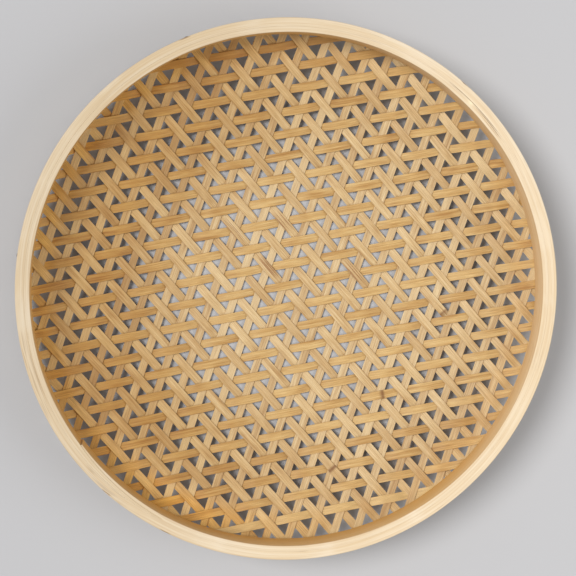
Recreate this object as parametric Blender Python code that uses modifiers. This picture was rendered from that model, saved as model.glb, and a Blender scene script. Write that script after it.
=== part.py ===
"""Winnowing basket: a shallow round bamboo sieve.

A net of flat bamboo splints, woven in three directions, sags between two bent
bamboo hoops that clamp its border.  The belly of the net is the lowest point.
Metres, +Z up, origin on the ground below the middle of the rim.
"""

import math

import bmesh
import bpy
import numpy as np
from mathutils import Vector

# ---------------------------------------------------------------- rim
RIM_RADIUS = 0.1800          # outer face of the outer hoop
RIM_TOP = 0.0460             # both hoops end level at the top
OUTER_HOOP_BOTTOM = 0.0120
OUTER_LIP_THICKNESS = 0.0058  # above the clamped net
OUTER_SKIRT_THICKNESS = 0.0031  # beside the clamped net
REBATE_TOP = 0.0375          # where the lip steps back to the skirt
HOOP_CHAMFER = 0.0007
INNER_HOOP_BOTTOM = 0.0230
INNER_HOOP_BORE = 0.1705     # inner face of the inner hoop
INNER_HOOP_THICKNESS = 0.0030
HOOP_SEGMENTS = 72

# The inner hoop is one bent strip; its thinned ends lap over each other.
LAP_START = math.radians(216.0)
LAP_ANGLE = math.radians(24.0)
LAP_TIP_THICKNESS = 0.0010
LAP_GAP = 0.0003
LAP_TIP_ROOM = 0.0012        # along the strip, beyond the tip of the lapping end

# ---------------------------------------------------------------- net
WOVEN_SPLINT_WIDTH = 0.0054  # the cross and the left splints
RIGHT_SPLINT_WIDTH = 0.0051
SPLINT_THICKNESS = 0.0004
SPLINT_PITCH = 0.01452       # between parallel splints, square to them
WEAVE_ANGLE = math.radians(10.75)  # the cross splints from +X
WEAVE_LIFT = 0.00115         # mid-line of a splint above or below the net's surface
CLAMP_LIFT = 0.00115         # the same, where the hoops press the net flat

FLAT_RADIUS = 0.0550         # the net rests on the ground inside this
BOWL_RADIUS = 0.1692         # from there it rises as a parabola to here
BOWL_RISE = 0.0145
CLAMP_RADIUS = 0.1752        # surface of the net between the hoops
NET_GROUND = WEAVE_LIFT + SPLINT_THICKNESS / 2
SPLINT_TOP = 0.0305          # cut ends of the cross and left splints
BINDING_TOP = 0.0368         # the band that ties the ends of the right splints
BINDING_HEIGHT = 0.0030
BINDING_THICKNESS = 0.0010
BINDING_SEGMENTS = 48
BEND_PARTS = 3               # straight facets of a splint at the bend
BORDER_STEP = 0.40           # longest facet along the border, in crossings
FULL_LIFT_SPAN = 0.23        # a splint is level this far from a crossing, in crossings
OUTERMOST_SPLINT = 0.1650    # no splint runs further out than this
CROWDED = 0.05               # least gap from the bend to a crossing, in crossings
SEARCH_REACH = 3.0           # how far from its guess a row's middle is sought, in crossings
SEARCH_STEPS = 600
HALVINGS = 40                # of the gap in which a station is sought

# The weaver's rows are not quite straight: shift of a row, in pitches, as
# factors of x, y, x*x, x*y and y*y with x and y in units of 100 mm.
LEFT_ROW_SKEW = (-0.013, 0.014, 0.035, 0.050, -0.043)
RIGHT_ROW_SKEW = (-0.041, 0.012, 0.024, -0.070, -0.038)
SKEW_UNIT = 0.100

# ---------------------------------------------------------------- nails
# Six stations round the rim, and a second nail where the outer hoop laps.
NAIL_ANGLES = [math.radians(angle) for angle in (52, 112, 172, 227.5, 242.5, 292, 352)]
NAIL_HEIGHT = 0.0415
NAIL_HEAD_RADIUS = 0.0016
NAIL_HEAD_THICKNESS = 0.0009
NAIL_SHANK_RADIUS = 0.0007
NAIL_LENGTH = 0.0080
NAIL_POINT = 0.0012
NAIL_SINK = 0.00015          # head below the hoop's face
NAIL_SIDES = 10
FIT_GAP = 0.0003
HOLE_REACH = 0.0010          # of a hole's cutter, out past the hoop's face

MERGE_DISTANCE = 0.00001
SHARP_ANGLE = math.radians(35)


# ---------------------------------------------------------------- scene and materials
def clear_scene():
    for old in list(bpy.data.objects):
        bpy.data.objects.remove(old)


def new_collection(name):
    collection = bpy.data.collections.new(name)
    bpy.context.scene.collection.children.link(collection)
    return collection


def new_material(name, colour, roughness, metallic=0.0):
    material = bpy.data.materials.new(name)
    material.use_nodes = True
    shader = material.node_tree.nodes["Principled BSDF"]
    shader.inputs["Base Color"].default_value = (*colour, 1.0)
    shader.inputs["Roughness"].default_value = roughness
    shader.inputs["Metallic"].default_value = metallic
    return material


def add_object(name, mesh, material, collection):
    piece = bpy.data.objects.new(name, mesh)
    mesh.materials.clear()
    mesh.materials.append(material)
    collection.objects.link(piece)
    return piece


def make_guide(piece):
    """A cutter or a union partner is not a part of the basket."""
    piece.hide_render = True
    piece.display_type = "WIRE"


# ---------------------------------------------------------------- turned shapes
def profile_mesh(name, points, closed):
    """Edges through (radius, height) points in the XZ plane, for a Screw modifier."""
    mesh = bpy.data.meshes.new(name)
    shape = bmesh.new()
    corners = [shape.verts.new((radius, 0.0, height)) for radius, height in points]
    for first, second in zip(corners, corners[1:]):
        shape.edges.new((first, second))
    if closed:
        shape.edges.new((corners[-1], corners[0]))
    shape.to_mesh(mesh)
    shape.free()
    return mesh


def turn(piece, steps):
    screw = piece.modifiers.new("turned", "SCREW")
    screw.axis = "Z"
    screw.steps = steps
    screw.render_steps = steps
    screw.use_merge_vertices = True
    screw.merge_threshold = MERGE_DISTANCE
    screw.use_smooth_shade = True


def shade_round(mesh):
    mesh.shade_smooth()
    mesh.set_sharp_from_angle(angle=SHARP_ANGLE)


def place_on_rim(piece, azimuth, radius, height):
    """Turn local +Z outward along the azimuth and stand the piece at that radius."""
    outward = Vector((math.cos(azimuth), math.sin(azimuth), 0.0))
    piece.rotation_euler = outward.to_track_quat("Z", "Y").to_euler()
    piece.location = outward * radius + Vector((0.0, 0.0, height))


# ---------------------------------------------------------------- hoops
def build_outer_hoop(material, collection, nail_holes):
    lip = RIM_RADIUS - OUTER_LIP_THICKNESS
    skirt = RIM_RADIUS - OUTER_SKIRT_THICKNESS
    profile = [
        (RIM_RADIUS - HOOP_CHAMFER, RIM_TOP),
        (RIM_RADIUS, RIM_TOP - HOOP_CHAMFER),
        (RIM_RADIUS, OUTER_HOOP_BOTTOM + HOOP_CHAMFER),
        (RIM_RADIUS - HOOP_CHAMFER, OUTER_HOOP_BOTTOM),
        (skirt, OUTER_HOOP_BOTTOM),
        (skirt, REBATE_TOP),
        (lip, REBATE_TOP),
        (lip, RIM_TOP),
    ]
    hoop = add_object("outer_hoop", profile_mesh("outer_hoop", profile, True), material, collection)
    turn(hoop, HOOP_SEGMENTS)
    cut(hoop, nail_holes)


def inner_hoop_radii(turned):
    """Inner and outer radius of the inner hoop's strip, at an angle along the strip."""
    outer_face = INNER_HOOP_BORE + INNER_HOOP_THICKNESS
    head_start = 2 * math.pi
    if turned >= head_start:
        share = (turned - head_start) / LAP_ANGLE
        thickness = INNER_HOOP_THICKNESS + (LAP_TIP_THICKNESS - INNER_HOOP_THICKNESS) * share
        return outer_face - thickness, outer_face
    if turned <= LAP_ANGLE:
        share = turned / LAP_ANGLE
        head_thickness = INNER_HOOP_THICKNESS + (LAP_TIP_THICKNESS - INNER_HOOP_THICKNESS) * share
        tail_outer = outer_face - head_thickness - LAP_GAP
        tail_inner = INNER_HOOP_BORE - (LAP_TIP_THICKNESS + LAP_GAP) * (1.0 - share)
        return tail_inner, tail_outer
    return INNER_HOOP_BORE, outer_face


def build_inner_hoop(material, collection, nail_holes):
    """The strip's plan view as a filled outline, extruded to the hoop's height."""
    step = 2 * math.pi / HOOP_SEGMENTS
    clear_of_tip = LAP_ANGLE + LAP_TIP_ROOM / INNER_HOOP_BORE
    whole_turns = [index * step for index in range(int((2 * math.pi + LAP_ANGLE) / step) + 1)]
    along = sorted(set(whole_turns + [clear_of_tip, 2 * math.pi + LAP_ANGLE]))
    inner_edge = [(inner_hoop_radii(turned)[0], turned) for turned in along]
    outer_edge = [(inner_hoop_radii(turned)[1], turned) for turned in reversed(along)]
    outline = inner_edge + outer_edge

    curve = bpy.data.curves.new("inner_hoop_outline", "CURVE")
    curve.dimensions = "2D"
    curve.fill_mode = "BOTH"
    height = RIM_TOP - INNER_HOOP_BOTTOM
    curve.extrude = height / 2
    spline = curve.splines.new("POLY")
    spline.points.add(len(outline) - 1)
    for point, (radius, turned) in zip(spline.points, outline):
        azimuth = LAP_START + turned
        point.co = (radius * math.cos(azimuth), radius * math.sin(azimuth), 0.0, 1.0)
    spline.use_cyclic_u = True
    drawn = bpy.data.objects.new("inner_hoop_outline", curve)
    drawn.location.z = INNER_HOOP_BOTTOM + height / 2
    collection.objects.link(drawn)

    bpy.context.view_layer.update()
    evaluated = drawn.evaluated_get(bpy.context.evaluated_depsgraph_get())
    mesh = bpy.data.meshes.new_from_object(evaluated)
    mesh.name = "inner_hoop"
    weld(mesh)
    shade_round(mesh)
    hoop = add_object("inner_hoop", mesh, material, collection)
    hoop.matrix_world = drawn.matrix_world
    bpy.data.objects.remove(drawn)
    cut(hoop, nail_holes)


def weld(mesh):
    shape = bmesh.new()
    shape.from_mesh(mesh)
    bmesh.ops.remove_doubles(shape, verts=shape.verts, dist=MERGE_DISTANCE)
    shape.to_mesh(mesh)
    shape.free()


def cut(piece, cutters):
    holes = piece.modifiers.new("nail_holes", "BOOLEAN")
    holes.operation = "DIFFERENCE"
    holes.operand_type = "COLLECTION"
    holes.collection = cutters
    holes.solver = "EXACT"


# ---------------------------------------------------------------- nails
def build_nails(material, collection):
    head_bottom = -NAIL_HEAD_THICKNESS
    profile = [
        (0.0, 0.0),
        (NAIL_HEAD_RADIUS, 0.0),
        (NAIL_HEAD_RADIUS, head_bottom),
        (NAIL_SHANK_RADIUS, head_bottom),
        (NAIL_SHANK_RADIUS, NAIL_POINT - NAIL_LENGTH),
        (0.0, -NAIL_LENGTH),
    ]
    mesh = profile_mesh("rim_nail", profile, False)
    for number, azimuth in enumerate(NAIL_ANGLES, start=1):
        nail = add_object(f"rim_nail_{number:02d}", mesh, material, collection)
        turn(nail, NAIL_SIDES)
        place_on_rim(nail, azimuth, RIM_RADIUS - NAIL_SINK, NAIL_HEIGHT)


def build_nail_holes(material, collection):
    profile = [
        (0.0, HOLE_REACH),
        (NAIL_HEAD_RADIUS + FIT_GAP, HOLE_REACH),
        (NAIL_HEAD_RADIUS + FIT_GAP, -NAIL_HEAD_THICKNESS - FIT_GAP),
        (NAIL_SHANK_RADIUS + FIT_GAP, -NAIL_HEAD_THICKNESS - FIT_GAP),
        (NAIL_SHANK_RADIUS + FIT_GAP, -NAIL_LENGTH - FIT_GAP),
        (0.0, -NAIL_LENGTH - FIT_GAP),
    ]
    mesh = profile_mesh("nail_hole", profile, False)
    for number, azimuth in enumerate(NAIL_ANGLES, start=1):
        hole = add_object(f"nail_hole_{number:02d}", mesh, material, collection)
        turn(hole, NAIL_SIDES)
        place_on_rim(hole, azimuth, RIM_RADIUS - NAIL_SINK, NAIL_HEIGHT)
        make_guide(hole)


# ---------------------------------------------------------------- the net's surface
# The net is laid out flat, then each point keeps its azimuth while its distance
# from the middle becomes a length along the bowl's profile.
BEND_START_SLOPE = math.atan(2 * BOWL_RISE / (BOWL_RADIUS - FLAT_RADIUS))
BEND_RADIUS = (CLAMP_RADIUS - BOWL_RADIUS) / (1.0 - math.sin(BEND_START_SLOPE))
BEND_LENGTH = BEND_RADIUS * (math.pi / 2 - BEND_START_SLOPE)
BEND_RISE = BEND_RADIUS * math.cos(BEND_START_SLOPE)
CLAMP_BOTTOM = NET_GROUND + BOWL_RISE + BEND_RISE


def bowl_table(steps=200):
    """Length along the parabola against radius, both from the middle of the net."""
    radii = np.linspace(FLAT_RADIUS, BOWL_RADIUS, steps)
    slopes = 2 * BOWL_RISE * (radii - FLAT_RADIUS) / (BOWL_RADIUS - FLAT_RADIUS) ** 2
    stretch = np.sqrt(1.0 + slopes**2)
    gained = np.concatenate([[0.0], np.cumsum((stretch[1:] + stretch[:-1]) / 2 * np.diff(radii))])
    return radii, FLAT_RADIUS + gained


BOWL_RADII, BOWL_LENGTHS = bowl_table()
BEND_START = float(BOWL_LENGTHS[-1])
CLAMP_START = BEND_START + BEND_LENGTH
SPLINT_END = CLAMP_START + SPLINT_TOP - CLAMP_BOTTOM
BINDING_END = CLAMP_START + BINDING_TOP - BINDING_HEIGHT / 2 - CLAMP_BOTTOM


def profile_at(length):
    """Radius, height and slope of the net's surface at a length from the middle."""
    if length <= FLAT_RADIUS:
        return length, NET_GROUND, 0.0
    if length <= BEND_START:
        radius = float(np.interp(length, BOWL_LENGTHS, BOWL_RADII))
        share = (radius - FLAT_RADIUS) / (BOWL_RADIUS - FLAT_RADIUS)
        slope = math.atan(2 * BOWL_RISE * share / (BOWL_RADIUS - FLAT_RADIUS))
        return radius, NET_GROUND + BOWL_RISE * share**2, slope
    if length <= CLAMP_START:
        slope = BEND_START_SLOPE + (length - BEND_START) / BEND_RADIUS
        radius = CLAMP_RADIUS - BEND_RADIUS * (1.0 - math.sin(slope))
        height = CLAMP_BOTTOM - BEND_RADIUS * math.cos(slope)
        return radius, height, slope
    return CLAMP_RADIUS, CLAMP_BOTTOM + length - CLAMP_START, math.pi / 2


def drape(flat, lift):
    """Place a flat point on the bowl, lifted along the surface's upward normal."""
    length = flat.length
    outward = flat / length if length > 0.0 else Vector((1.0, 0.0))
    radius, height, slope = profile_at(length)
    radius -= math.sin(slope) * lift
    height += math.cos(slope) * lift
    return Vector((outward.x * radius, outward.y * radius, height))


# ---------------------------------------------------------------- the weave's lattice
def direction(angle):
    return Vector((math.cos(angle), math.sin(angle)))


SIXTY = math.radians(60)
CROSS_WAY = direction(WEAVE_ANGLE)
RIGHT_WAY = direction(WEAVE_ANGLE + SIXTY)
LEFT_WAY = direction(WEAVE_ANGLE + 2 * SIXTY)
CROSS_SIDE = direction(WEAVE_ANGLE + math.pi / 2)
RIGHT_SIDE = direction(WEAVE_ANGLE + SIXTY + math.pi / 2)
LEFT_SIDE = direction(WEAVE_ANGLE + 2 * SIXTY + math.pi / 2)
CROSSING_STEP = SPLINT_PITCH / math.sin(SIXTY)


def row_shift(factors, point):
    x = point.x / SKEW_UNIT
    y = point.y / SKEW_UNIT
    return sum(factor * term for factor, term in zip(factors, (x, y, x * x, x * y, y * y)))


def lattice_point(cross_row, left_row):
    """Flat place where a cross row meets a left row; a right row passes there too."""
    straight = (LEFT_WAY * cross_row - CROSS_WAY * left_row) * CROSSING_STEP
    left = row_shift(LEFT_ROW_SKEW, straight) * SPLINT_PITCH
    right = row_shift(RIGHT_ROW_SKEW, straight) * SPLINT_PITCH
    # The shift has those two components across the left and the right rows.
    cosine = LEFT_SIDE.dot(RIGHT_SIDE)
    sine_squared = 1.0 - cosine**2
    along_left = (left - cosine * right) / sine_squared
    along_right = (right - cosine * left) / sine_squared
    return straight + LEFT_SIDE * along_left + RIGHT_SIDE * along_right


def cross_line(row):
    return lambda station: lattice_point(row, station)


def left_line(row):
    return lambda station: lattice_point(station, row)


def right_line(row):
    """The lattice points whose cross and left rows add up to the right row."""
    return lambda station: lattice_point(station, row - station)


def row_lift(length, sign):
    """Height of a splint over the net's surface where it crosses another row."""
    pressed = min(max((length - BOWL_RADIUS) / (CLAMP_START - BOWL_RADIUS), 0.0), 1.0)
    return sign * (WEAVE_LIFT + (CLAMP_LIFT - WEAVE_LIFT) * pressed)


def woven_sign(row_sum, cross, length):
    """Cross and left splints take turns on top; between the hoops they lie in layers."""
    on_top = row_sum % 2 == 0 or length > BOWL_RADIUS
    return 1.0 if on_top == cross else -1.0


def nearest_station(line, middle):
    """The station where the row passes closest to the middle of the net."""
    stations = np.linspace(middle - SEARCH_REACH, middle + SEARCH_REACH, SEARCH_STEPS + 1)
    lengths = [line(float(station)).length for station in stations]
    return float(stations[int(np.argmin(lengths))])


def station_at(line, start, way, length):
    """The station, to one way from the start, where a line reaches a flat length."""
    near = start
    far = start + way * 2 * length / CROSSING_STEP
    for _ in range(HALVINGS):
        halfway = (near + far) / 2
        if line(halfway).length < length:
            near = halfway
        else:
            far = halfway
    return near


def edge_line(line, offset):
    """The line at a constant distance beside a row: one edge of its splint."""
    small = 0.02

    def edge(station):
        way = (line(station + small) - line(station - small)).normalized()
        return line(station) + Vector((-way.y, way.x)) * offset

    return edge


# ---------------------------------------------------------------- splints
def edge_stations(edges, start, end_length):
    """Pairs of stations, one for each edge of a splint, from cut end to cut end.

    Inside the bowl a pair stands at each crossing.  At the bend both edges step at
    the same lengths, so that every splint folds along the same rings.
    """
    ring_lengths = [BEND_START + BEND_LENGTH * part / BEND_PARTS for part in range(BEND_PARTS + 1)]
    ring_lengths.append(end_length)
    before = [[station_at(edge, start, -1, length) for edge in edges] for length in ring_lengths]
    after = [[station_at(edge, start, 1, length) for edge in edges] for length in ring_lengths]
    first = math.ceil(max(before[0]) + CROWDED)
    last = math.floor(min(after[0]) - CROWDED)
    crossings = [[float(n), float(n)] for n in range(first, last + 1)]
    start_border = with_border_steps(before[::-1] + crossings[:1])
    end_border = with_border_steps(crossings[-1:] + after)
    return start_border + crossings[1:-1] + end_border


def with_border_steps(pairs):
    """Split the longer gaps, where a splint runs along the border."""
    closer = [pairs[0]]
    for pair, next_pair in zip(pairs, pairs[1:]):
        parts = math.ceil(max(b - a for a, b in zip(pair, next_pair)) / BORDER_STEP)
        for part in range(1, parts + 1):
            closer.append([a + (b - a) * part / parts for a, b in zip(pair, next_pair)])
    return closer


def ribbon(shape, edges, pairs, lift_at):
    """An open strip with two corners a pair, laid on the draped net."""
    corners = []
    for pair in pairs:
        places = [drape(edge(station), lift_at(station)) for edge, station in zip(edges, pair)]
        corners.append([shape.verts.new(place) for place in places])
    for (left, right), (next_left, next_right) in zip(corners, corners[1:]):
        shape.faces.new((left, right, next_right, next_left))


def add_thickness(piece, thickness):
    shell = piece.modifiers.new("thickness", "SOLIDIFY")
    shell.thickness = thickness
    shell.offset = 0.0
    shell.use_even_offset = True


def woven_lift(line, row, cross):
    """Over and under: full lift round a crossing, straight slopes between."""

    def lift_at(station):
        before = math.floor(station)
        share = (station - before - FULL_LIFT_SPAN) / (1.0 - 2 * FULL_LIFT_SPAN)
        share = min(max(share, 0.0), 1.0)
        ends = []
        for crossing in (before, before + 1):
            length = line(crossing).length
            ends.append(row_lift(length, woven_sign(row + crossing, cross, length)))
        return ends[0] * (1.0 - share) + ends[1] * share

    return lift_at


def rows_of(line_of, middle_of, width):
    """Every row that stays inside the outermost splint, with its nearest station."""
    rows_each_side = int(RIM_RADIUS / SPLINT_PITCH) + 1
    for row in range(-rows_each_side, rows_each_side + 1):
        line = line_of(row)
        start = nearest_station(line, middle_of(row))
        if line(start).length <= OUTERMOST_SPLINT:
            edges = [edge_line(line, offset) for offset in (width / 2, -width / 2)]
            yield row, line, edges, start


def build_woven_rows(prefix, line_of, cross, material, collection):
    """One splint a row, each its own piece."""
    rows = rows_of(line_of, lambda row: -row / 2, WOVEN_SPLINT_WIDTH)
    for number, (row, line, edges, start) in enumerate(rows, start=1):
        name = f"{prefix}_{number:02d}"
        mesh = bpy.data.meshes.new(name)
        shape = bmesh.new()
        pairs = edge_stations(edges, start, SPLINT_END)
        ribbon(shape, edges, pairs, woven_lift(line, row, cross))
        shape.to_mesh(mesh)
        shape.free()
        splint = add_object(name, mesh, material, collection)
        add_thickness(splint, SPLINT_THICKNESS)


def build_binding(material, collection):
    """A thin band round the ends of the right splints, hidden between the hoops."""
    profile = [(CLAMP_RADIUS, BINDING_TOP), (CLAMP_RADIUS, BINDING_TOP - BINDING_HEIGHT)]
    band = add_object("binding_band", profile_mesh("binding_band", profile, False), material, collection)
    turn(band, BINDING_SEGMENTS)
    add_thickness(band, BINDING_THICKNESS)
    make_guide(band)
    return band


def build_right_splints(material, collection, guides):
    """All the right splints run between the other two layers; one band joins them."""
    mesh = bpy.data.meshes.new("right_splints")
    shape = bmesh.new()
    level_inside = FLAT_RADIUS - CROSSING_STEP
    for _, line, edges, start in rows_of(right_line, lambda row: row / 2, RIGHT_SPLINT_WIDTH):
        pairs = edge_stations(edges, start, BINDING_END)
        bent = [pair for pair in pairs if line(pair[0]).length > level_inside]
        ribbon(shape, edges, bent, lambda station: 0.0)
    shape.to_mesh(mesh)
    shape.free()
    splints = add_object("right_splints", mesh, material, collection)
    add_thickness(splints, SPLINT_THICKNESS)
    joined = splints.modifiers.new("bound", "BOOLEAN")
    joined.operation = "UNION"
    joined.object = build_binding(material, guides)
    joined.solver = "EXACT"


# ---------------------------------------------------------------- assembly
def build():
    clear_scene()
    basket = new_collection("winnowing_basket")
    nail_holes = new_collection("nail_holes")
    guides = new_collection("guides")

    hoop_bamboo = new_material("hoop_bamboo", (0.80, 0.66, 0.47), 0.55)
    cross_bamboo = new_material("cross_bamboo", (0.58, 0.36, 0.13), 0.50)
    left_bamboo = new_material("left_bamboo", (0.68, 0.47, 0.23), 0.50)
    right_bamboo = new_material("right_bamboo", (0.72, 0.54, 0.31), 0.50)
    nail_steel = new_material("nail_steel", (0.16, 0.14, 0.12), 0.55, 0.9)

    build_nail_holes(nail_steel, nail_holes)
    build_outer_hoop(hoop_bamboo, basket, nail_holes)
    build_inner_hoop(hoop_bamboo, basket, nail_holes)
    build_nails(nail_steel, basket)
    build_woven_rows("cross_splint", cross_line, True, cross_bamboo, basket)
    build_woven_rows("left_splint", left_line, False, left_bamboo, basket)
    build_right_splints(right_bamboo, basket, guides)


build()
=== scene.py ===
"""Looks of the winnowing basket: bamboo splints, two bent hoops and their nails.

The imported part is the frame.  Every splint, hoop and nail is made again here as a
finer shape with its own grain, and stands for its node.  Hoops and nails keep their
node's place.  The rows of splints follow the picture more closely than the CAD's do,
and lie up to 4 mm beside them.
Metres, +Z up, origin on the ground below the middle of the rim.
"""

import math

import bpy
import numpy as np
from mathutils import Matrix, Vector


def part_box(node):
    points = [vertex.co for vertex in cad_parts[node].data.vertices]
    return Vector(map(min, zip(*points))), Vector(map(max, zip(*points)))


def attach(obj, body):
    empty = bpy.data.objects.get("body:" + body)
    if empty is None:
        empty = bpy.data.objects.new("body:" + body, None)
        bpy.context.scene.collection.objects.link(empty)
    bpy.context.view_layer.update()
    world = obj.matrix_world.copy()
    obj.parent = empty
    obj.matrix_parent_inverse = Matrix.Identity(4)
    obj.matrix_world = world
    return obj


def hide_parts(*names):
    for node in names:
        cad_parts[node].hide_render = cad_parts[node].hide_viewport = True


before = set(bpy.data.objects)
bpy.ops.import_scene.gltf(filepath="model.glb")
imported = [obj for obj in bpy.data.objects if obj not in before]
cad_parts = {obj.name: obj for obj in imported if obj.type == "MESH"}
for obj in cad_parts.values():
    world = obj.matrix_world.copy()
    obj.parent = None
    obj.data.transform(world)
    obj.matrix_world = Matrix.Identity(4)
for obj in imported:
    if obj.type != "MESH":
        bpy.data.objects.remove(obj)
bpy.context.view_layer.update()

# ---------------------------------------------------------------- the part's own sizes
RIM_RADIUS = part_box("outer_hoop")[1].x
RIM_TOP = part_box("outer_hoop")[1].z
OUTER_HOOP_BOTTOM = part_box("outer_hoop")[0].z
INNER_HOOP_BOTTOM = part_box("inner_hoop")[0].z
OUTER_LIP_THICKNESS = 0.0058
OUTER_SKIRT_THICKNESS = 0.0031
REBATE_TOP = 0.0375
INNER_HOOP_BORE = 0.1705
INNER_LAP_START = math.radians(216.0)
INNER_LAP_ANGLE = math.radians(24.0)
LAP_TIP_THICKNESS = 0.0010

SPLINT_PITCH = 0.01452
WEAVE_ANGLE = math.radians(10.75)
FLAT_RADIUS = 0.0550
BOWL_RADIUS = 0.1692
BOWL_RISE = 0.0145
CLAMP_RADIUS = 0.1752
NET_GROUND = 0.00135
SPLINT_TOP = 0.0305
RIGHT_SPLINT_TOP = 0.0360
OUTERMOST_SPLINT = 0.1650

NAIL_ANGLES = [math.radians(angle) for angle in (52, 112, 172, 227.5, 242.5, 292, 352)]
NAIL_HEIGHT = 0.0415

# ---------------------------------------------------------------- finer sizes, only seen here
WOVEN_SPLINT_WIDTH = 0.0057  # the cross and the left splints
RIGHT_SPLINT_WIDTH = 0.0052
# The weaver's rows are not quite straight: shift of a row, in pitches, as
# factors of 1, x, y, x*x, x*y and y*y with x and y in units of 100 mm.
LEFT_ROW_SKEW = (-0.014, 0.026, 0.020, 0.028, 0.031, -0.010)
RIGHT_ROW_SKEW = (0.013, -0.054, 0.011, 0.032, -0.009, -0.008)
SKEW_UNIT = 0.100
SPLINT_THICKNESS = 0.00050
SPLINT_BEVEL = 0.00008
SPLINT_CROWN = 0.00003       # the skin side of a splint is slightly rounded
SPLINT_SWAY = 0.00016        # to the side of its row
WEAVE_LIFT = 0.00082
CLAMP_LIFT = 0.00075
FULL_LIFT_SPAN = 0.16        # of the way to the next crossing
CROSS_ROW_BOW = 0.042        # pitches a cross row lies off the others' crossings, at 100 mm
KNOT_LENGTH = 0.0017
SPLIT_FADE = 0.5             # of the way to the next crossing
RING_STEP = 0.0020           # along a splint

SEAM_GAP = 0.00003           # between the hoops
LAP_GAP = 0.00004            # between the inner hoop's lapped ends
OUTER_EDGE_RADIUS = 0.0010   # of the outer hoop's top
INNER_EDGE_RADIUS = 0.0005   # of the inner hoop's top
JOINT_EDGE_RADIUS = 0.00008  # where the two tops meet
OUTER_LAP_START = math.radians(227.0)
OUTER_LAP_ANGLE = math.radians(14.0)
OUTER_LAP_CLOSED = 0.8       # of the lap, where the covering end is as thick as the hoop
SCARF_TIP_SHARE = 0.05       # of the hoop's thickness
SCARF_DIP = 0.0010
LUMP_AZIMUTH = 46.0          # degrees
LUMP_HEIGHT = 0.0007
HOOP_STEP = math.radians(1.0)
SHARP_EDGE = math.radians(30)

# ---------------------------------------------------------------- colour shares, painted shade and painted bounce light
PALEST_TONE = 1.4
# Where the painted warm bounce light on the splints begins, and the length it takes.
BOUNCE_GLOW_START = 0.148         # flat length where the splints begin to turn golden
BOUNCE_GLOW_LENGTH = 0.018        # and the length that this takes
# Where the painted warm shade on the net's left side begins, and the length it takes.
WARM_SHADE_START = 0.045
WARM_SHADE_LENGTH = 0.090
# Tints of the painted warm shade and of the painted warm bounce light.
WARM_SHADE_TINT = (0.73, 0.61, 0.41, 1.0)
BOUNCE_GLOW_TINT = (1.15, 0.91, 0.43, 1.0)
# Painted shade on the rim's left side.
LEFT_RIM_SHADE_TINT = (0.83, 0.82, 0.80, 1.0)
MARKED_AZIMUTHS = (49.7, 112.5, 227.5, 242.5)  # degrees, dark marks on the rim's outer edge

# ---------------------------------------------------------------- directions and the net's surface
SIXTY = math.radians(60)


def direction(angle):
    return np.array([math.cos(angle), math.sin(angle)])


CROSS_WAY = direction(WEAVE_ANGLE)
LEFT_WAY = direction(WEAVE_ANGLE + 2 * SIXTY)
CROSS_SIDE = direction(WEAVE_ANGLE + math.pi / 2)
RIGHT_SIDE = direction(WEAVE_ANGLE + SIXTY + math.pi / 2)
LEFT_SIDE = direction(WEAVE_ANGLE + 2 * SIXTY + math.pi / 2)
CROSSING_STEP = SPLINT_PITCH / math.sin(SIXTY)

BEND_START_SLOPE = math.atan(2 * BOWL_RISE / (BOWL_RADIUS - FLAT_RADIUS))
BEND_RADIUS = (CLAMP_RADIUS - BOWL_RADIUS) / (1.0 - math.sin(BEND_START_SLOPE))
BEND_LENGTH = BEND_RADIUS * (math.pi / 2 - BEND_START_SLOPE)
CLAMP_BOTTOM = NET_GROUND + BOWL_RISE + BEND_RADIUS * math.cos(BEND_START_SLOPE)


def bowl_table(steps=400):
    """Length along the net's parabola against radius, both from the middle."""
    radii = np.linspace(FLAT_RADIUS, BOWL_RADIUS, steps)
    slopes = 2 * BOWL_RISE * (radii - FLAT_RADIUS) / (BOWL_RADIUS - FLAT_RADIUS) ** 2
    stretch = np.sqrt(1.0 + slopes**2)
    gained = np.concatenate([[0.0], np.cumsum((stretch[1:] + stretch[:-1]) / 2 * np.diff(radii))])
    return radii, FLAT_RADIUS + gained


BOWL_RADII, BOWL_LENGTHS = bowl_table()
BEND_START = float(BOWL_LENGTHS[-1])
CLAMP_START = BEND_START + BEND_LENGTH
SPLINT_END = CLAMP_START + SPLINT_TOP - CLAMP_BOTTOM
RIGHT_SPLINT_END = CLAMP_START + RIGHT_SPLINT_TOP - CLAMP_BOTTOM


def profile_at(length):
    """Radius, height and slope of the net's surface at lengths from the middle."""
    bowl_radius = np.interp(length, BOWL_LENGTHS, BOWL_RADII)
    share = np.clip((bowl_radius - FLAT_RADIUS) / (BOWL_RADIUS - FLAT_RADIUS), 0.0, 1.0)
    bowl_slope = np.arctan(2 * BOWL_RISE * share / (BOWL_RADIUS - FLAT_RADIUS))
    bowl_height = NET_GROUND + BOWL_RISE * share**2

    bend_slope = np.clip(BEND_START_SLOPE + (length - BEND_START) / BEND_RADIUS, 0.0, math.pi / 2)
    bend_radius = CLAMP_RADIUS - BEND_RADIUS * (1.0 - np.sin(bend_slope))
    bend_height = CLAMP_BOTTOM - BEND_RADIUS * np.cos(bend_slope)
    bend_height = bend_height + np.maximum(length - CLAMP_START, 0.0)

    flat = length <= FLAT_RADIUS
    bowl = length <= BEND_START
    radius = np.where(flat, length, np.where(bowl, bowl_radius, bend_radius))
    height = np.where(flat, NET_GROUND, np.where(bowl, bowl_height, bend_height))
    slope = np.where(flat, 0.0, np.where(bowl, bowl_slope, bend_slope))
    return radius, height, slope


def drape(flat, lift):
    """Place flat points on the bowl, lifted along its upward normal."""
    length = np.maximum(np.linalg.norm(flat, axis=-1), 1e-9)
    outward = flat / length[..., None]
    radius, height, slope = profile_at(length)
    radius = radius - np.sin(slope) * lift
    height = height + np.cos(slope) * lift
    return np.concatenate([outward * radius[..., None], height[..., None]], axis=-1)


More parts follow.
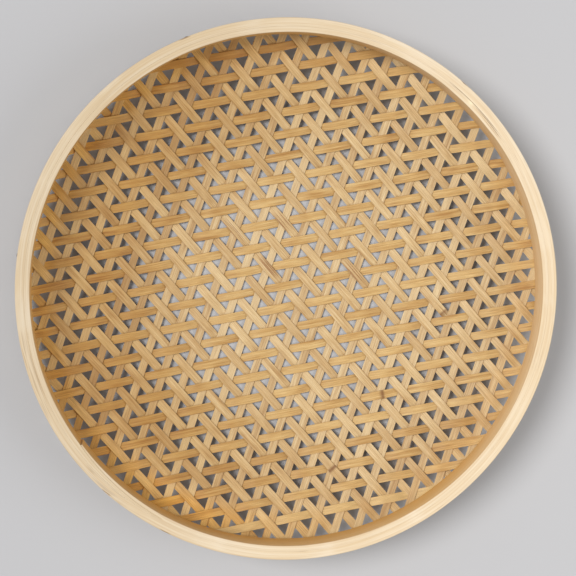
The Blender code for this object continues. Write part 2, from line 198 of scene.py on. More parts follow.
# ---------------------------------------------------------------- the weave's lattice
def row_shift(factors, points):
    """How far a row lies from its straight place, in pitches."""
    x = points[:, 0] / SKEW_UNIT
    y = points[:, 1] / SKEW_UNIT
    terms = (1.0, x, y, x * x, x * y, y * y)
    return sum(factor * term for factor, term in zip(factors, terms))


def lattice_points(cross_rows, left_rows):
    """Flat places where cross rows meet left rows; right rows pass there too."""
    straight = (np.outer(cross_rows, LEFT_WAY) - np.outer(left_rows, CROSS_WAY)) * CROSSING_STEP
    left = row_shift(LEFT_ROW_SKEW, straight) * SPLINT_PITCH
    right = row_shift(RIGHT_ROW_SKEW, straight) * SPLINT_PITCH
    cosine = float(LEFT_SIDE @ RIGHT_SIDE)
    sine_squared = 1.0 - cosine**2
    along_left = (left - cosine * right) / sine_squared
    along_right = (right - cosine * left) / sine_squared
    return straight + np.outer(along_left, LEFT_SIDE) + np.outer(along_right, RIGHT_SIDE)


def cross_line(row):
    """The cross rows bow a little off the crossings of the other two families."""

    def line(stations):
        points = lattice_points(np.full_like(stations, row), stations)
        bow = CROSS_ROW_BOW * (points[:, 1] / SKEW_UNIT) ** 2 * SPLINT_PITCH
        return points + np.outer(bow, CROSS_SIDE)

    return line


def left_line(row):
    return lambda stations: lattice_points(stations, np.full_like(stations, row))


def right_line(row):
    return lambda stations: lattice_points(stations, row - stations)


def rows_of(line_of, middle_of):
    """Every row that stays inside the outermost splint, with its nearest station."""
    rows_each_side = int(RIM_RADIUS / SPLINT_PITCH) + 1
    for row in range(-rows_each_side, rows_each_side + 1):
        line = line_of(row)
        stations = np.linspace(middle_of(row) - 3.0, middle_of(row) + 3.0, 601)
        lengths = np.linalg.norm(line(stations), axis=1)
        nearest = int(np.argmin(lengths))
        if lengths[nearest] <= OUTERMOST_SPLINT:
            yield row, line, float(stations[nearest])


def station_at(line, start, way, length):
    """The station, to one way from the start, where a line reaches a flat length."""
    near = start
    far = start + way * 2 * length / CROSSING_STEP
    for _ in range(40):
        halfway = (near + far) / 2
        if np.linalg.norm(line(np.array([halfway]))[0]) < length:
            near = halfway
        else:
            far = halfway
    return near


# ---------------------------------------------------------------- smooth shares
def smooth_step(share):
    """From 0 to 1 without a kink."""
    share = np.clip(share, 0.0, 1.0)
    return share * share * (3.0 - 2.0 * share)


def near_azimuth(azimuths, low, high, soft):
    """1 between two azimuths in degrees, fading outside them."""
    degrees = np.degrees(azimuths) % 360.0
    return smooth_step((degrees - low) / soft + 1.0) * smooth_step((high - degrees) / soft + 1.0)


# ---------------------------------------------------------------- over and under
def row_lift(length, sign):
    """Height of a splint over or under the middle layer, less where the hoops press."""
    pressed = np.clip((length - BOWL_RADIUS) / (CLAMP_START - BOWL_RADIUS), 0.0, 1.0)
    return sign * (WEAVE_LIFT + (CLAMP_LIFT - WEAVE_LIFT) * pressed)


def woven_lift(line, row, cross):
    """Cross and left splints take turns on top; between the hoops they lie in layers."""

    def at_crossing(crossing):
        length = np.linalg.norm(line(crossing), axis=1)
        on_top = ((row + crossing) % 2 == 0) | (length > BOWL_RADIUS)
        return row_lift(length, np.where(on_top == cross, 1.0, -1.0))

    def lift_at(stations):
        before = np.floor(stations)
        share = (stations - before - FULL_LIFT_SPAN) / (1.0 - 2 * FULL_LIFT_SPAN)
        share = smooth_step(share)
        return at_crossing(before) * (1.0 - share) + at_crossing(before + 1) * share

    return lift_at


def middle_lift(stations):
    """Right splints run level between the other two layers."""
    return np.zeros_like(stations)


# ---------------------------------------------------------------- meshes
def wander(random, along, wavelength, size):
    """A smooth, uneven line: three waves of random phase."""
    total = np.zeros_like(along)
    for pace in (1.0, 1.73, 2.91):
        total += np.sin(2 * math.pi * (along * pace / wavelength + random.random())) / pace
    # The three add up to 1.9 at most.
    return size * total / 1.9


def length_along(points):
    """The length gained at each point of a line."""
    steps = np.linalg.norm(np.diff(points, axis=0), axis=1)
    return np.concatenate([[0.0], np.cumsum(steps)])


def length_round(section):
    """The same round a closed section, with one more for its seam."""
    return length_along(np.vstack([section, section[:1]]))


def grid_mesh(name, rings, along, across, values):
    """A tube through rings of points, with its grain's UV map and named values.

    rings is (ring, corner, 3), along one length a ring, across the corners' places
    round the section with one more for the seam, values {name: one number a corner}.
    """
    count, corners = rings.shape[:2]
    ring_starts = np.arange(count - 1)[:, None] * corners
    first = ring_starts + np.arange(corners)[None, :]
    turned = ring_starts + (np.arange(corners) + 1)[None, :] % corners
    quads = np.stack([first, turned, turned + corners, first + corners], axis=-1)
    faces = quads.reshape(-1, 4).tolist()
    faces.append(list(range(corners))[::-1])
    faces.append([(count - 1) * corners + corner for corner in range(corners)])

    mesh = bpy.data.meshes.new(name)
    mesh.from_pydata(rings.reshape(-1, 3).tolist(), [], faces)
    mesh.shade_smooth()
    mesh.set_sharp_from_angle(angle=SHARP_EDGE)

    sides = np.zeros((count - 1, corners, 4, 2))
    sides[:, :, (0, 1), 0] = along[:-1, None, None]
    sides[:, :, (2, 3), 0] = along[1:, None, None]
    sides[:, :, (0, 3), 1] = across[None, :-1, None]
    sides[:, :, (1, 2), 1] = across[None, 1:, None]
    first_end = np.stack([np.full(corners, along[0]), across[:-1][::-1]], axis=1)
    last_end = np.stack([np.full(corners, along[-1]), across[:-1]], axis=1)
    grain = np.concatenate([sides.reshape(-1, 2), first_end, last_end])
    layer = mesh.uv_layers.new(name="Grain")
    layer.data.foreach_set("uv", grain.astype(np.float32).ravel())

    for label, numbers in values.items():
        attribute = mesh.attributes.new(label, "FLOAT", "POINT")
        numbers = np.broadcast_to(numbers, (count, corners))
        attribute.data.foreach_set("value", numbers.astype(np.float32).ravel())
    return mesh


def add_piece(name, mesh, material, nodes):
    piece = bpy.data.objects.new(name, mesh)
    mesh.materials.append(material)
    bpy.context.scene.collection.objects.link(piece)
    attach(piece, "root")
    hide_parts(*nodes)
    return piece


# ---------------------------------------------------------------- splints
def polar(flat):
    """Length and azimuth, from the middle, of flat points."""
    return np.linalg.norm(flat, axis=-1), np.arctan2(flat[..., 1], flat[..., 0])


def bounce_glow_share(flat):
    """Painted warm bounce light: splints turn golden where they bend up to the hoops, most on the
    shaded left side.
    """
    length, azimuth = polar(flat)
    border = smooth_step((length - BOUNCE_GLOW_START) / BOUNCE_GLOW_LENGTH)
    on_left = np.minimum(1.6 * near_azimuth(azimuth, 150, 215, 75), 1.0)
    return border * (0.2 + 0.8 * on_left)


def warm_shade_share(flat):
    """Painted warm shade: splints grow darker and browner away from the middle, towards the left side.
    """
    length, azimuth = polar(flat)
    outside = smooth_step((length - WARM_SHADE_START) / WARM_SHADE_LENGTH)
    return outside * near_azimuth(azimuth, 130, 215, 85) * (1.0 - bounce_glow_share(flat))


def splint_section(half_width):
    """Corners round a splint, as (across, height), anticlockwise from the left top."""
    half = SPLINT_THICKNESS / 2
    top = [(-1.0, 0.0), (-0.5, 0.75), (0.0, 1.0), (0.5, 0.75), (1.0, 0.0)]
    section = [(side * (half_width - SPLINT_BEVEL), half + rise * SPLINT_CROWN) for side, rise in top]
    section += [(half_width, half - SPLINT_BEVEL), (half_width, SPLINT_BEVEL - half)]
    section += [(half_width - SPLINT_BEVEL, -half), (0.0, -half), (SPLINT_BEVEL - half_width, -half)]
    section += [(-half_width, SPLINT_BEVEL - half), (-half_width, half - SPLINT_BEVEL)]
    return np.array(section)[::-1]


def splint_mesh(name, line, start, end_length, lift_of, full_width, seed, tone, knots, splits):
    """One splint along its row, from cut end to cut end, with its small unevenness."""
    random = np.random.default_rng(seed)
    first = station_at(line, start, -1, end_length)
    last = station_at(line, start, 1, end_length)
    count = int((last - first) * CROSSING_STEP / RING_STEP) + 2
    stations = np.linspace(first, last, count)
    centre = line(stations)
    way = np.gradient(centre, axis=0)
    way /= np.linalg.norm(way, axis=1)[:, None]
    side = np.stack([-way[:, 1], way[:, 0]], axis=1)
    along = length_along(centre)

    centre = centre + side * wander(random, along, 0.12, SPLINT_SWAY)[:, None]
    width = 1.0 + random.uniform(-0.05, 0.05) + wander(random, along, 0.07, 0.025)
    roll = wander(random, along, 0.06, 0.025)
    knot = np.zeros(count)
    for place in knots:
        away = (stations - place) * CROSSING_STEP / KNOT_LENGTH
        knot = np.maximum(knot, np.exp(-(away**2)))
    split = np.zeros(count)
    for begin, end in splits:
        fade_in = smooth_step((stations - begin) / SPLIT_FADE)
        fade_out = smooth_step((end - stations) / SPLIT_FADE)
        split = np.maximum(split, fade_in * fade_out)

    section = splint_section(full_width / 2)
    across = section[None, :, 0] * width[:, None] * (1.0 + 0.05 * knot[:, None])
    height = section[None, :, 1] * (1.0 + 0.5 * knot[:, None])
    flat = centre[:, None, :] + side[:, None, :] * across[:, :, None]
    lift = lift_of(stations)[:, None] + height + across * roll[:, None]
    rings = drape(flat, lift)

    values = {
        "tone": tone,
        "warm_shade": warm_shade_share(flat),
        # A pale splint stays pale at the border.
        "bounce_glow": bounce_glow_share(flat) * (1.0 - 0.7 * min(max(tone, 0.0), PALEST_TONE)),
        "knot": knot[:, None],
        "split": split[:, None],
        "edge": np.abs(section[None, :, 0]) / (full_width / 2),
    }
    # Every splint reads its own stretch of the grain.
    apart = seed * 0.0371
    return grid_mesh(name, rings, along + apart * 10.0, length_round(section) + apart, values)


# ---------------------------------------------------------------- hoops
def rounded(corners, radii, steps=3):
    """A closed outline with its corners rounded off by parabolas."""
    outline = []
    count = len(corners)
    for index, (corner, radius) in enumerate(zip(corners, radii)):
        corner = np.array(corner)
        before = np.array(corners[index - 1]) - corner
        after = np.array(corners[(index + 1) % count]) - corner
        enter = corner + before / np.linalg.norm(before) * radius
        leave = corner + after / np.linalg.norm(after) * radius
        for step in range(steps + 1):
            share = step / steps
            rest = 1 - share
            outline.append(enter * rest**2 + corner * 2 * share * rest + leave * share**2)
    return np.array(outline)


def bend_hoop(name, azimuths, radius, height, values):
    """A strip bent round the basket: radius and height are (ring, corner)."""
    rings = np.stack(
        [radius * np.cos(azimuths)[:, None], radius * np.sin(azimuths)[:, None], height],
        axis=-1,
    )
    section = np.stack([radius[len(radius) // 2], height[len(radius) // 2]], axis=1)
    return grid_mesh(name, rings, azimuths * RIM_RADIUS, length_round(section), values)


def left_rim_shade_share(azimuths):
    """Painted shade: the left side of the rim is a little darker, one number a ring."""
    return near_azimuth(azimuths, 120, 210, 80)[:, None]


def outer_hoop_mesh():
    """The outer hoop's strip, with a rebate for the net and scarfed ends."""
    random = np.random.default_rng(11)
    lip = RIM_RADIUS - OUTER_LIP_THICKNESS
    skirt = RIM_RADIUS - OUTER_SKIRT_THICKNESS
    corners = [
        (lip, RIM_TOP),
        (RIM_RADIUS, RIM_TOP),
        (RIM_RADIUS, OUTER_HOOP_BOTTOM),
        (skirt, OUTER_HOOP_BOTTOM),
        (skirt, REBATE_TOP),
        (lip, REBATE_TOP),
    ]
    outline = rounded(corners, (JOINT_EDGE_RADIUS, OUTER_EDGE_RADIUS, 0.0007, 0.0004, 0.0002, 0.0003))
    # More corners across the top edge, where its surface is uneven.
    outline = subdivide_between(outline, 3, 4, 5)
    # Depth into the strip from its outer face, 0 to 1, and what it is where the strip ends.
    depth = (RIM_RADIUS - outline[:, 0]) / OUTER_LIP_THICKNESS
    skirt_depth = OUTER_SKIRT_THICKNESS / OUTER_LIP_THICKNESS
    full_depth = np.where(outline[:, 1] > REBATE_TOP - 0.0001, 1.0, skirt_depth)
    full_depth = np.maximum(full_depth, depth)

    turned = np.arange(0.0, 2 * math.pi + OUTER_LAP_ANGLE + 1e-9, HOOP_STEP)
    azimuths = OUTER_LAP_START + turned
    # The head starts as a tip outside and thickens, the tail thins to a tip inside it.
    head = np.clip(turned / (OUTER_LAP_CLOSED * OUTER_LAP_ANGLE), SCARF_TIP_SHARE, 1.0)[:, None]
    tail = np.clip((turned - 2 * math.pi) / OUTER_LAP_ANGLE, 0.0, 1.0 - SCARF_TIP_SHARE)[:, None]
    seam = SEAM_GAP / OUTER_LIP_THICKNESS
    tail_depth = full_depth - (full_depth - depth) * (1.0 - tail - seam)
    placed = np.where(tail > 0.0, tail_depth, depth * head)
    radius = RIM_RADIUS - placed * OUTER_LIP_THICKNESS + rim_wave(azimuths)[:, None]

    length = azimuths * RIM_RADIUS
    height = np.repeat(outline[None, :, 1], len(turned), axis=0)
    top_wave = top_unevenness(azimuths) + wander(random, length, 0.05, 0.00004)
    high = np.clip((height - REBATE_TOP) / (RIM_TOP - REBATE_TOP), 0.0, 1.0)
    # The tail has no rounded outer edge, and dips where the head has closed over it.
    squared = np.minimum(6.0 * tail, 1.0) * (height > RIM_TOP - 1.1 * OUTER_EDGE_RADIUS)
    dip = SCARF_DIP * smooth_step((tail - OUTER_LAP_CLOSED) / 0.08)
    height = height + (RIM_TOP - height) * squared + (top_wave[:, None] - dip) * high
    stain = 0.35 * near_azimuth(azimuths, 222, 231, 2) + 0.35 * near_azimuth(azimuths, 190, 206, 3)
    mark = sum(near_azimuth(azimuths, angle - 0.3, angle + 0.3, 0.7) for angle in MARKED_AZIMUTHS)
    outer_edge = (depth < 0.14) & (outline[:, 1] > RIM_TOP - 0.0007)
    values = {
        "stain": stain[:, None] * (depth[None, :] > 0.12),
        "left_rim_shade": left_rim_shade_share(azimuths),
        "mark": 0.75 * mark[:, None] * outer_edge[None, :],
    }
    return bend_hoop("outer_hoop_strip", azimuths, radius, height, values)


def subdivide_between(outline, first, last, parts):
    """Put more corners on one straight side of an outline."""
    whole = outline[last] - outline[first]
    extra = [outline[first] + whole * part / parts for part in range(1, parts)]
    return np.vstack([outline[: first + 1], extra, outline[first + 1 :]])


def rim_wave(azimuths):
    """Both hoops are out of round by the same few tenths of a millimetre."""
    return 0.00014 * np.sin(2 * azimuths) + 0.00012 * np.sin(5 * azimuths + 2.1)


def top_unevenness(azimuths):
    """The top edges of both hoops rise and fall together."""
    return 0.00018 * np.sin(3 * azimuths + 1.0) + 0.00012 * np.sin(7 * azimuths + 0.3)


def inner_hoop_mesh():
    """The inner hoop's strip, whose thinned ends lap over each other."""
    random = np.random.default_rng(12)
    outer_face = RIM_RADIUS - OUTER_LIP_THICKNESS - SEAM_GAP
    full = outer_face - INNER_HOOP_BORE
    turned = np.arange(0.0, 2 * math.pi + INNER_LAP_ANGLE + HOOP_STEP + 1e-9, HOOP_STEP)
    azimuths = INNER_LAP_START + turned

    # The head lies inside the tail, which thins towards its tip.
    head_share = np.clip(turned / INNER_LAP_ANGLE, 0.0, 1.0)
    tail_share = np.clip((turned - 2 * math.pi) / INNER_LAP_ANGLE, 0.0, 1.0)
    covering = full + (LAP_TIP_THICKNESS - full) * head_share
    head_outer = outer_face - covering - LAP_GAP
    head_inner = INNER_HOOP_BORE - (LAP_TIP_THICKNESS + LAP_GAP) * (1.0 - head_share)
    tail_inner = outer_face - full - (LAP_TIP_THICKNESS - full) * tail_share
    lapped = turned <= INNER_LAP_ANGLE + 1e-9
    outer = np.where(lapped, head_outer, outer_face)
    inner = np.where(lapped, head_inner, tail_inner)
    # The tail's last step fills the corner where the head gets its full thickness.
    run_out = turned > 2 * math.pi + INNER_LAP_ANGLE + 0.5 * HOOP_STEP
    inner = np.where(run_out, outer_face - LAP_GAP, inner)

    corners = [(0.0, RIM_TOP), (1.0, RIM_TOP), (1.0, INNER_HOOP_BOTTOM), (0.0, INNER_HOOP_BOTTOM)]
    corners = [(share * full, height) for share, height in corners]
    outline = rounded(corners, (INNER_EDGE_RADIUS, JOINT_EDGE_RADIUS, 0.0004, 0.0006))
    outline = subdivide_between(outline, 3, 4, 4)
    share = outline[:, 0] / full
    radius = inner[:, None] + (outer - inner)[:, None] * share[None, :]
    radius = radius + rim_wave(azimuths)[:, None]
    # At the upper right the two hoops stand a little apart, with a lump on the inner one.
    apart = near_azimuth(azimuths, 39, 50, 3)
    radius = radius - 0.00025 * apart[:, None]

    height = np.repeat(outline[None, :, 1], len(turned), axis=0)
    high = np.clip((height - REBATE_TOP) / (RIM_TOP - REBATE_TOP), 0.0, 1.0)
    length = azimuths * RIM_RADIUS
    top_wave = top_unevenness(azimuths) + wander(random, length, 0.07, 0.00003)
    lump_along = (np.degrees(azimuths) % 360.0 - LUMP_AZIMUTH) / 0.75
    lump_across = (share - 0.75) / 0.35
    lump = np.exp(-(lump_along**2))[:, None] * np.exp(-(lump_across**2))[None, :]
    height = height + (top_wave[:, None] + LUMP_HEIGHT * lump) * high
    # The lower edge is cut unevenly.
    foot = np.clip((0.030 - height) / 0.007, 0.0, 1.0)
    height = height + wander(random, length, 0.18, 0.0005)[:, None] * foot
    stain = near_azimuth(azimuths, 37, 51, 2)[:, None] * (share[None, :] > 0.4)
    # The inner face is golden; painted shade makes it deeper lower down and weaker on the lit right
    # side.
    on_right = near_azimuth(azimuths + math.radians(60), 40, 115, 35)[:, None]
    deep = (0.50 + 0.40 * smooth_step((0.041 - height) / 0.012)) * (1.0 - 0.45 * on_right)
    inner_face = (share[None, :] < 0.10) & (outline[None, :, 1] < RIM_TOP - 0.0004)
    values = {
        "stain": stain,
        "pale": lump,
        "wall_tint_and_shade": deep * inner_face,
        "left_rim_shade": left_rim_shade_share(azimuths),
    }
    return bend_hoop("inner_hoop_strip", azimuths, radius, height, values)


# ---------------------------------------------------------------- nails
def nail_mesh():
    """A small round-headed nail along local Z, its head on top."""
    # Radius and height, from the top of the head to the tip.
    profile = [(0.0, 0.00045), (0.0008, 0.00040), (0.0014, 0.00022), (0.0016, 0.0), (0.0016, -0.0002)]
    profile += [(0.0007, -0.0005), (0.0006, -0.0068), (0.0, -0.0080)]
    sides = 20
    points = []
    faces = []
    for radius, height in profile[1:-1]:
        for side in range(sides):
            angle = 2 * math.pi * side / sides
            points.append((radius * math.cos(angle), radius * math.sin(angle), height))
    for ring in range(len(profile) - 3):
        for side in range(sides):
            after = (side + 1) % sides
            a, b = ring * sides, (ring + 1) * sides
            faces.append((a + side, b + side, b + after, a + after))
    top, tip = len(points), len(points) + 1
    points += [(0.0, 0.0, profile[0][1]), (0.0, 0.0, profile[-1][1])]
    last = (len(profile) - 3) * sides
    for side in range(sides):
        after = (side + 1) % sides
        faces.append((side, after, top))
        faces.append((last + after, last + side, tip))
    mesh = bpy.data.meshes.new("rim_nail_look")
    mesh.from_pydata(points, [], faces)
    mesh.shade_smooth()
    mesh.set_sharp_from_angle(angle=math.radians(50))
    return mesh


# ---------------------------------------------------------------- materials
def linear(red, green, blue):
    """An sRGB colour of 0 to 255 as the shader's linear one."""
    values = [value / 255 for value in (red, green, blue)]
    return (*[v / 12.92 if v <= 0.04045 else ((v + 0.055) / 1.055) ** 2.4 for v in values], 1.0)


def add_node(tree, kind, inputs=None, **settings):
    node = tree.nodes.new(kind)
    for name, value in settings.items():
        setattr(node, name, value)
    for socket, value in (inputs or {}).items():
        if isinstance(value, bpy.types.NodeSocket):
            tree.links.new(value, node.inputs[socket])
        else:
            node.inputs[socket].default_value = value
    return node


def calculate(tree, operation, first, second):
    inputs = {0: first, 1: second}
    return add_node(tree, "ShaderNodeMath", inputs, operation=operation).outputs[0]


def weighted_sum(tree, *parts):
    """The sum of values, each with its weight, as (value, weight) pairs."""
    terms = [calculate(tree, "MULTIPLY", value, weight) for value, weight in parts]
    total = terms[0]
    for term in terms[1:]:
        total = calculate(tree, "ADD", total, term)
    return total


def between(tree, value, low, high, to_low=0.0, to_high=1.0):
    inputs = {"Value": value, "From Min": low, "From Max": high, "To Min": to_low, "To Max": to_high}
    return add_node(tree, "ShaderNodeMapRange", inputs, interpolation_type="SMOOTHSTEP").outputs[0]


def blend(tree, share, first, second, kind="MIX"):
    node = add_node(tree, "ShaderNodeMix", data_type="RGBA", blend_type=kind)
    sockets = {0: share, 6: first, 7: second}
    for index, value in sockets.items():
        if isinstance(value, bpy.types.NodeSocket):
            tree.links.new(value, node.inputs[index])
        else:
            node.inputs[index].default_value = value
    return node.outputs[2]


def streaks(tree, grain, along, across, detail=2.0, place=0.0):
    """Noise drawn out along the grain: along and across are cells a metre."""
    inputs = {0: grain, 1: (along, across, 1.0)}
    scaled = add_node(tree, "ShaderNodeVectorMath", inputs, operation="MULTIPLY")
    inputs = {0: scaled.outputs[0], 1: (place, place, place)}
    moved = add_node(tree, "ShaderNodeVectorMath", inputs, operation="ADD")
    inputs = {"Vector": moved.outputs[0], "Scale": 1.0, "Detail": detail, "Roughness": 0.55}
    return add_node(tree, "ShaderNodeTexNoise", inputs, noise_dimensions="3D").outputs["Fac"]


def attribute(tree, name):
    return add_node(tree, "ShaderNodeAttribute", attribute_name=name).outputs["Fac"]


def new_tree(name):
    material = bpy.data.materials.new(name)
    material.use_nodes = True
    tree = material.node_tree
    return material, tree, tree.nodes["Principled BSDF"]


def splint_material(name, light, middle, dark, shade_strength):
    """Split bamboo: long fibres, a tone for each splint, knots and fine splits."""
    material, tree, shader = new_tree(name)
    grain = add_node(tree, "ShaderNodeUVMap", uv_map="Grain").outputs["UV"]
    broad = streaks(tree, grain, 16.0, 480.0, 1.0)
    strands = streaks(tree, grain, 32.0, 1500.0, 2.0, 7.0)
    fibres = streaks(tree, grain, 90.0, 7000.0, 1.0, 13.0)
    patches = streaks(tree, grain, 45.0, 120.0, 2.0, 3.0)

    pattern = weighted_sum(tree, (broad, 0.28), (strands, 0.40), (patches, 0.32))
    pale = between(tree, pattern, 0.47, 0.62)
    deep = between(tree, pattern, 0.50, 0.36)
    colour = blend(tree, pale, middle, light)
    colour = blend(tree, calculate(tree, "MULTIPLY", deep, 0.90), colour, dark)

    tone = attribute(tree, "tone")
    colour = blend(tree, between(tree, tone, 0.0, PALEST_TONE, 0.0, 1.0), colour, light)
    colour = blend(tree, between(tree, tone, 0.0, -1.0, 0.0, 0.60), colour, dark)

    # Painted warm shade on the net's left side.
    warm_shade = calculate(tree, "MULTIPLY", attribute(tree, "warm_shade"), shade_strength)
    colour = blend(tree, warm_shade, colour, WARM_SHADE_TINT, "MULTIPLY")
    # Painted warm bounce light where the splints bend up to the hoops.
    colour = blend(tree, attribute(tree, "bounce_glow"), colour, BOUNCE_GLOW_TINT, "MULTIPLY")

    fine = between(tree, fibres, 0.60, 0.40, 0.0, 0.36)
    colour = blend(tree, fine, colour, linear(128, 84, 38))
    # Darker along both edges of a splint: partly the cut edges' own colour, partly painted shade.
    edge = between(tree, attribute(tree, "edge"), 0.93, 1.0, 0.0, 0.18)
    colour = blend(tree, edge, colour, linear(140, 92, 44))

    knot = attribute(tree, "knot")
    colour = blend(tree, between(tree, knot, 0.10, 1.0, 0.0, 0.78), colour, linear(112, 68, 36))
    cracks = streaks(tree, grain, 9.0, 1300.0, 0.0, 21.0)
    crack = calculate(tree, "MULTIPLY", between(tree, cracks, 0.560, 0.600), attribute(tree, "split"))
    colour = blend(tree, calculate(tree, "MULTIPLY", crack, 0.65), colour, linear(142, 88, 56))
    tree.links.new(colour, shader.inputs["Base Color"])

    rough = between(tree, strands, 0.3, 0.7, 0.46, 0.62)
    tree.links.new(rough, shader.inputs["Roughness"])
    shader.inputs["Specular IOR Level"].default_value = 0.35
    height = weighted_sum(tree, (strands, 0.6), (fibres, 0.4), (crack, -2.5))
    bump = add_node(tree, "ShaderNodeBump", {"Strength": 0.7, "Distance": 0.00010, "Height": height})
    tree.links.new(bump.outputs[0], shader.inputs["Normal"])
    return material


def hoop_material(name):
    """Shaved bamboo, cut along the grain: cream with long fine lines."""
    material, tree, shader = new_tree(name)
    grain = add_node(tree, "ShaderNodeUVMap", uv_map="Grain").outputs["UV"]
    broad = streaks(tree, grain, 7.0, 260.0, 2.0, 4.0)
    strands = streaks(tree, grain, 14.0, 1100.0, 2.0, 9.0)
    fibres = streaks(tree, grain, 70.0, 5200.0, 1.0, 2.0)
    patches = streaks(tree, grain, 26.0, 60.0, 2.0, 17.0)

    colour = blend(tree, between(tree, broad, 0.38, 0.64), linear(230, 208, 174), linear(238, 220, 192))
    colour = blend(tree, between(tree, strands, 0.54, 0.38, 0.0, 0.36), colour, linear(212, 180, 136))
    colour = blend(tree, between(tree, patches, 0.52, 0.72, 0.0, 0.45), colour, linear(244, 230, 208))
    colour = blend(tree, between(tree, patches, 0.46, 0.30, 0.0, 0.22), colour, linear(222, 194, 154))
    colour = blend(tree, between(tree, fibres, 0.62, 0.42, 0.0, 0.10), colour, linear(176, 138, 96))

    dashes = streaks(tree, grain, 30.0, 1300.0, 1.0, 31.0)
    thin = between(tree, dashes, 0.72, 0.78, 0.0, 0.4)
    stain = attribute(tree, "stain")
    stained = calculate(tree, "MULTIPLY", between(tree, dashes, 0.50, 0.62, 0.0, 0.8), stain)
    marks = calculate(tree, "MAXIMUM", thin, stained)
    colour = blend(tree, marks, colour, linear(132, 96, 62))
    # Painted shade on the rim's left side.
    colour = blend(tree, attribute(tree, "left_rim_shade"), colour, LEFT_RIM_SHADE_TINT, "MULTIPLY")
    colour = blend(tree, attribute(tree, "pale"), colour, linear(248, 232, 196))
    colour = blend(tree, attribute(tree, "mark"), colour, linear(112, 76, 48))
    # The inner face's golden colour, with painted shade lower down and less on the lit right side.
    colour = blend(tree, attribute(tree, "wall_tint_and_shade"), colour, linear(222, 170, 84))
    tree.links.new(colour, shader.inputs["Base Color"])

    tree.links.new(between(tree, strands, 0.3, 0.7, 0.50, 0.66), shader.inputs["Roughness"])
    shader.inputs["Specular IOR Level"].default_value = 0.30
    height = weighted_sum(tree, (strands, 0.7), (fibres, 0.3), (marks, -1.0))
    bump = add_node(tree, "ShaderNodeBump", {"Strength": 0.35, "Distance": 0.00012, "Height": height})
    tree.links.new(bump.outputs[0], shader.inputs["Normal"])
    return material


def nail_material():
    """Dull dark steel with a little rust."""
    material, tree, shader = new_tree("nail_steel_worn")
    place = add_node(tree, "ShaderNodeTexCoord").outputs["Object"]
    inputs = {"Vector": place, "Scale": 1800.0, "Detail": 3.0}
    spots = add_node(tree, "ShaderNodeTexNoise", inputs).outputs["Fac"]
    colour = blend(tree, between(tree, spots, 0.45, 0.65), linear(62, 56, 52), linear(104, 66, 42))
    tree.links.new(colour, shader.inputs["Base Color"])
    tree.links.new(between(tree, spots, 0.40, 0.65, 0.45, 0.85), shader.inputs["Roughness"])
    shader.inputs["Metallic"].default_value = 0.85
    return material


# ---------------------------------------------------------------- the basket
# Lattice stations of the knots and splits that show, by family and row.
KNOTS = {("left", 4): [-9.0], ("cross", -6): [-0.15], ("left", -5): [-2.65]}
SPLITS = {
    ("left", -3): [(-0.7, 0.8)],
    ("left", -2): [(2.4, 3.7)],
    ("left", 0): [(0.3, 1.7), (2.4, 3.9)],
}
# Tones of single splints, from dark (-1) to the palest (1.4), and how far the others vary.
TONES = {
    ("cross", -11): PALEST_TONE,
    ("cross", -10): 0.3,
    ("cross", 10): -0.4,
    ("cross", 11): -0.7,
    ("left", -11): 0.9,
}
TONE_SPREAD = {"cross": 0.50, "left": 0.60, "right": 1.00}


def build_family(family, line_of, middle_of, lift_of, end_length, width, material, seed):
    """All splints of one direction.  middle_of gives the station nearest a row's middle."""
    random = np.random.default_rng(seed)
    spread = TONE_SPREAD[family]
    for number, (row, line, start) in enumerate(rows_of(line_of, middle_of), start=1):
        tone = TONES.get((family, row), random.uniform(-spread, spread))
        knots = KNOTS.get((family, row), [])
        splits = SPLITS.get((family, row), [])
        name = f"{family}_splint_{number:02d}_bamboo"
        lift = lift_of(line, row)
        mesh = splint_mesh(
            name, line, start, end_length, lift, width, seed + number, tone, knots, splits
        )
        node = "right_splints" if family == "right" else f"{family}_splint_{number:02d}"
        add_piece(name, mesh, material, [node])


def build_cross_splints():
    light, middle, dark = linear(224, 191, 132), linear(207, 168, 107), linear(174, 128, 70)
    build_family(
        "cross",
        cross_line,
        lambda row: -row / 2,
        lambda line, row: woven_lift(line, row, True),
        SPLINT_END,
        WOVEN_SPLINT_WIDTH,
        splint_material("cross_bamboo_grain", light, middle, dark, 1.0),
        100,
    )


def build_left_splints():
    light, middle, dark = linear(230, 204, 158), linear(216, 185, 135), linear(184, 146, 96)
    build_family(
        "left",
        left_line,
        lambda row: -row / 2,
        lambda line, row: woven_lift(line, row, False),
        SPLINT_END,
        WOVEN_SPLINT_WIDTH,
        splint_material("left_bamboo_grain", light, middle, dark, 0.80),
        200,
    )


def build_right_splints():
    light, middle, dark = linear(228, 203, 159), linear(211, 181, 135), linear(178, 142, 98)
    build_family(
        "right",
        right_line,
        lambda row: row / 2,
        lambda line, row: middle_lift,
        RIGHT_SPLINT_END,
        RIGHT_SPLINT_WIDTH,
        splint_material("right_bamboo_grain", light, middle, dark, 0.72),
        300,
    )


def build_hoops():
    hoop = hoop_material("hoop_bamboo_grain")
    add_piece("outer_hoop_strip", outer_hoop_mesh(), hoop, ["outer_hoop"])
    add_piece("inner_hoop_strip", inner_hoop_mesh(), hoop, ["inner_hoop"])


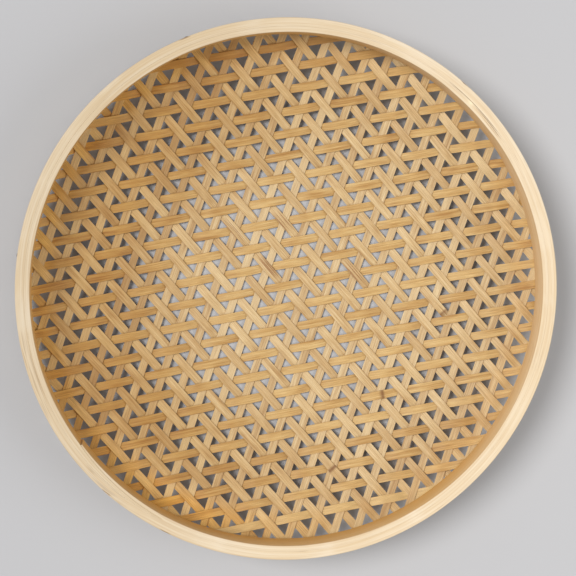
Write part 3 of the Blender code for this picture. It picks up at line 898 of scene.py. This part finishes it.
def build_nails():
    """Seven nails share one mesh and point at the middle from the rim."""
    steel = nail_material()
    mesh = nail_mesh()
    mesh.materials.append(steel)
    for number, azimuth in enumerate(NAIL_ANGLES, start=1):
        nail = bpy.data.objects.new(f"rim_nail_{number:02d}_worn", mesh)
        bpy.context.scene.collection.objects.link(nail)
        outward = Vector((math.cos(azimuth), math.sin(azimuth), 0.0))
        turn = outward.to_track_quat("Z", "Y").to_matrix().to_4x4()
        radius = RIM_RADIUS + float(rim_wave(np.array([azimuth]))[0])
        nail.matrix_world = Matrix.Translation(outward * radius + Vector((0, 0, NAIL_HEIGHT))) @ turn
        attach(nail, "root")
        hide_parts(f"rim_nail_{number:02d}")


# ---------------------------------------------------------------- floor, light and camera
def build_stage():
    bpy.ops.mesh.primitive_plane_add(size=8.0, location=(0.0, 0.0, -0.0002))
    floor = bpy.context.object
    floor.name = "floor"
    material, tree, shader = new_tree("floor_pale")
    shader.inputs["Base Color"].default_value = linear(188, 188, 191)
    shader.inputs["Roughness"].default_value = 0.9
    floor.data.materials.append(material)

    world = bpy.data.worlds.new("studio")
    world.use_nodes = True
    background = world.node_tree.nodes["Background"]
    background.inputs["Color"].default_value = (0.96, 0.98, 1.0, 1.0)
    background.inputs["Strength"].default_value = 0.44
    bpy.context.scene.world = world

    key = bpy.data.lights.new("key", "SUN")
    key.energy = 2.20
    key.angle = math.radians(26)
    key.color = (1.0, 0.985, 0.955)
    add_lamp(key, Vector((-1.06, 0.37, 1.67)))

    fill = bpy.data.lights.new("fill", "AREA")
    fill.shape = "DISK"
    fill.size = 1.5
    fill.energy = 13.0
    fill.color = (1.0, 0.97, 0.92)
    add_lamp(fill, Vector((1.55, -0.38, 1.30)))


def add_lamp(light, place):
    lamp = bpy.data.objects.new(light.name, light)
    lamp.location = place
    lamp.rotation_euler = (-place).to_track_quat("-Z", "Y").to_euler()
    bpy.context.scene.collection.objects.link(lamp)


def build_camera():
    camera = bpy.data.cameras.new("camera")
    camera.sensor_width = 36.0
    camera.lens = 105.95
    camera.shift_x = -0.0030
    camera.shift_y = 0.0068
    holder = bpy.data.objects.new("camera", camera)
    holder.location = (-0.105, 0.090, 1.158)
    rim_middle = Vector((0.0, 0.0, RIM_TOP))
    back = holder.location - rim_middle
    right = Vector((0.0, 1.0, 0.0)).cross(back).normalized()
    up = back.cross(right).normalized()
    turn = Matrix((right, up, back.normalized())).transposed()
    holder.rotation_euler = turn.to_euler()
    bpy.context.scene.collection.objects.link(holder)
    bpy.context.scene.camera = holder


build_hoops()
build_cross_splints()
build_left_splints()
build_right_splints()
build_nails()
build_stage()
build_camera()
bpy.context.scene.view_settings.view_transform = "Standard"
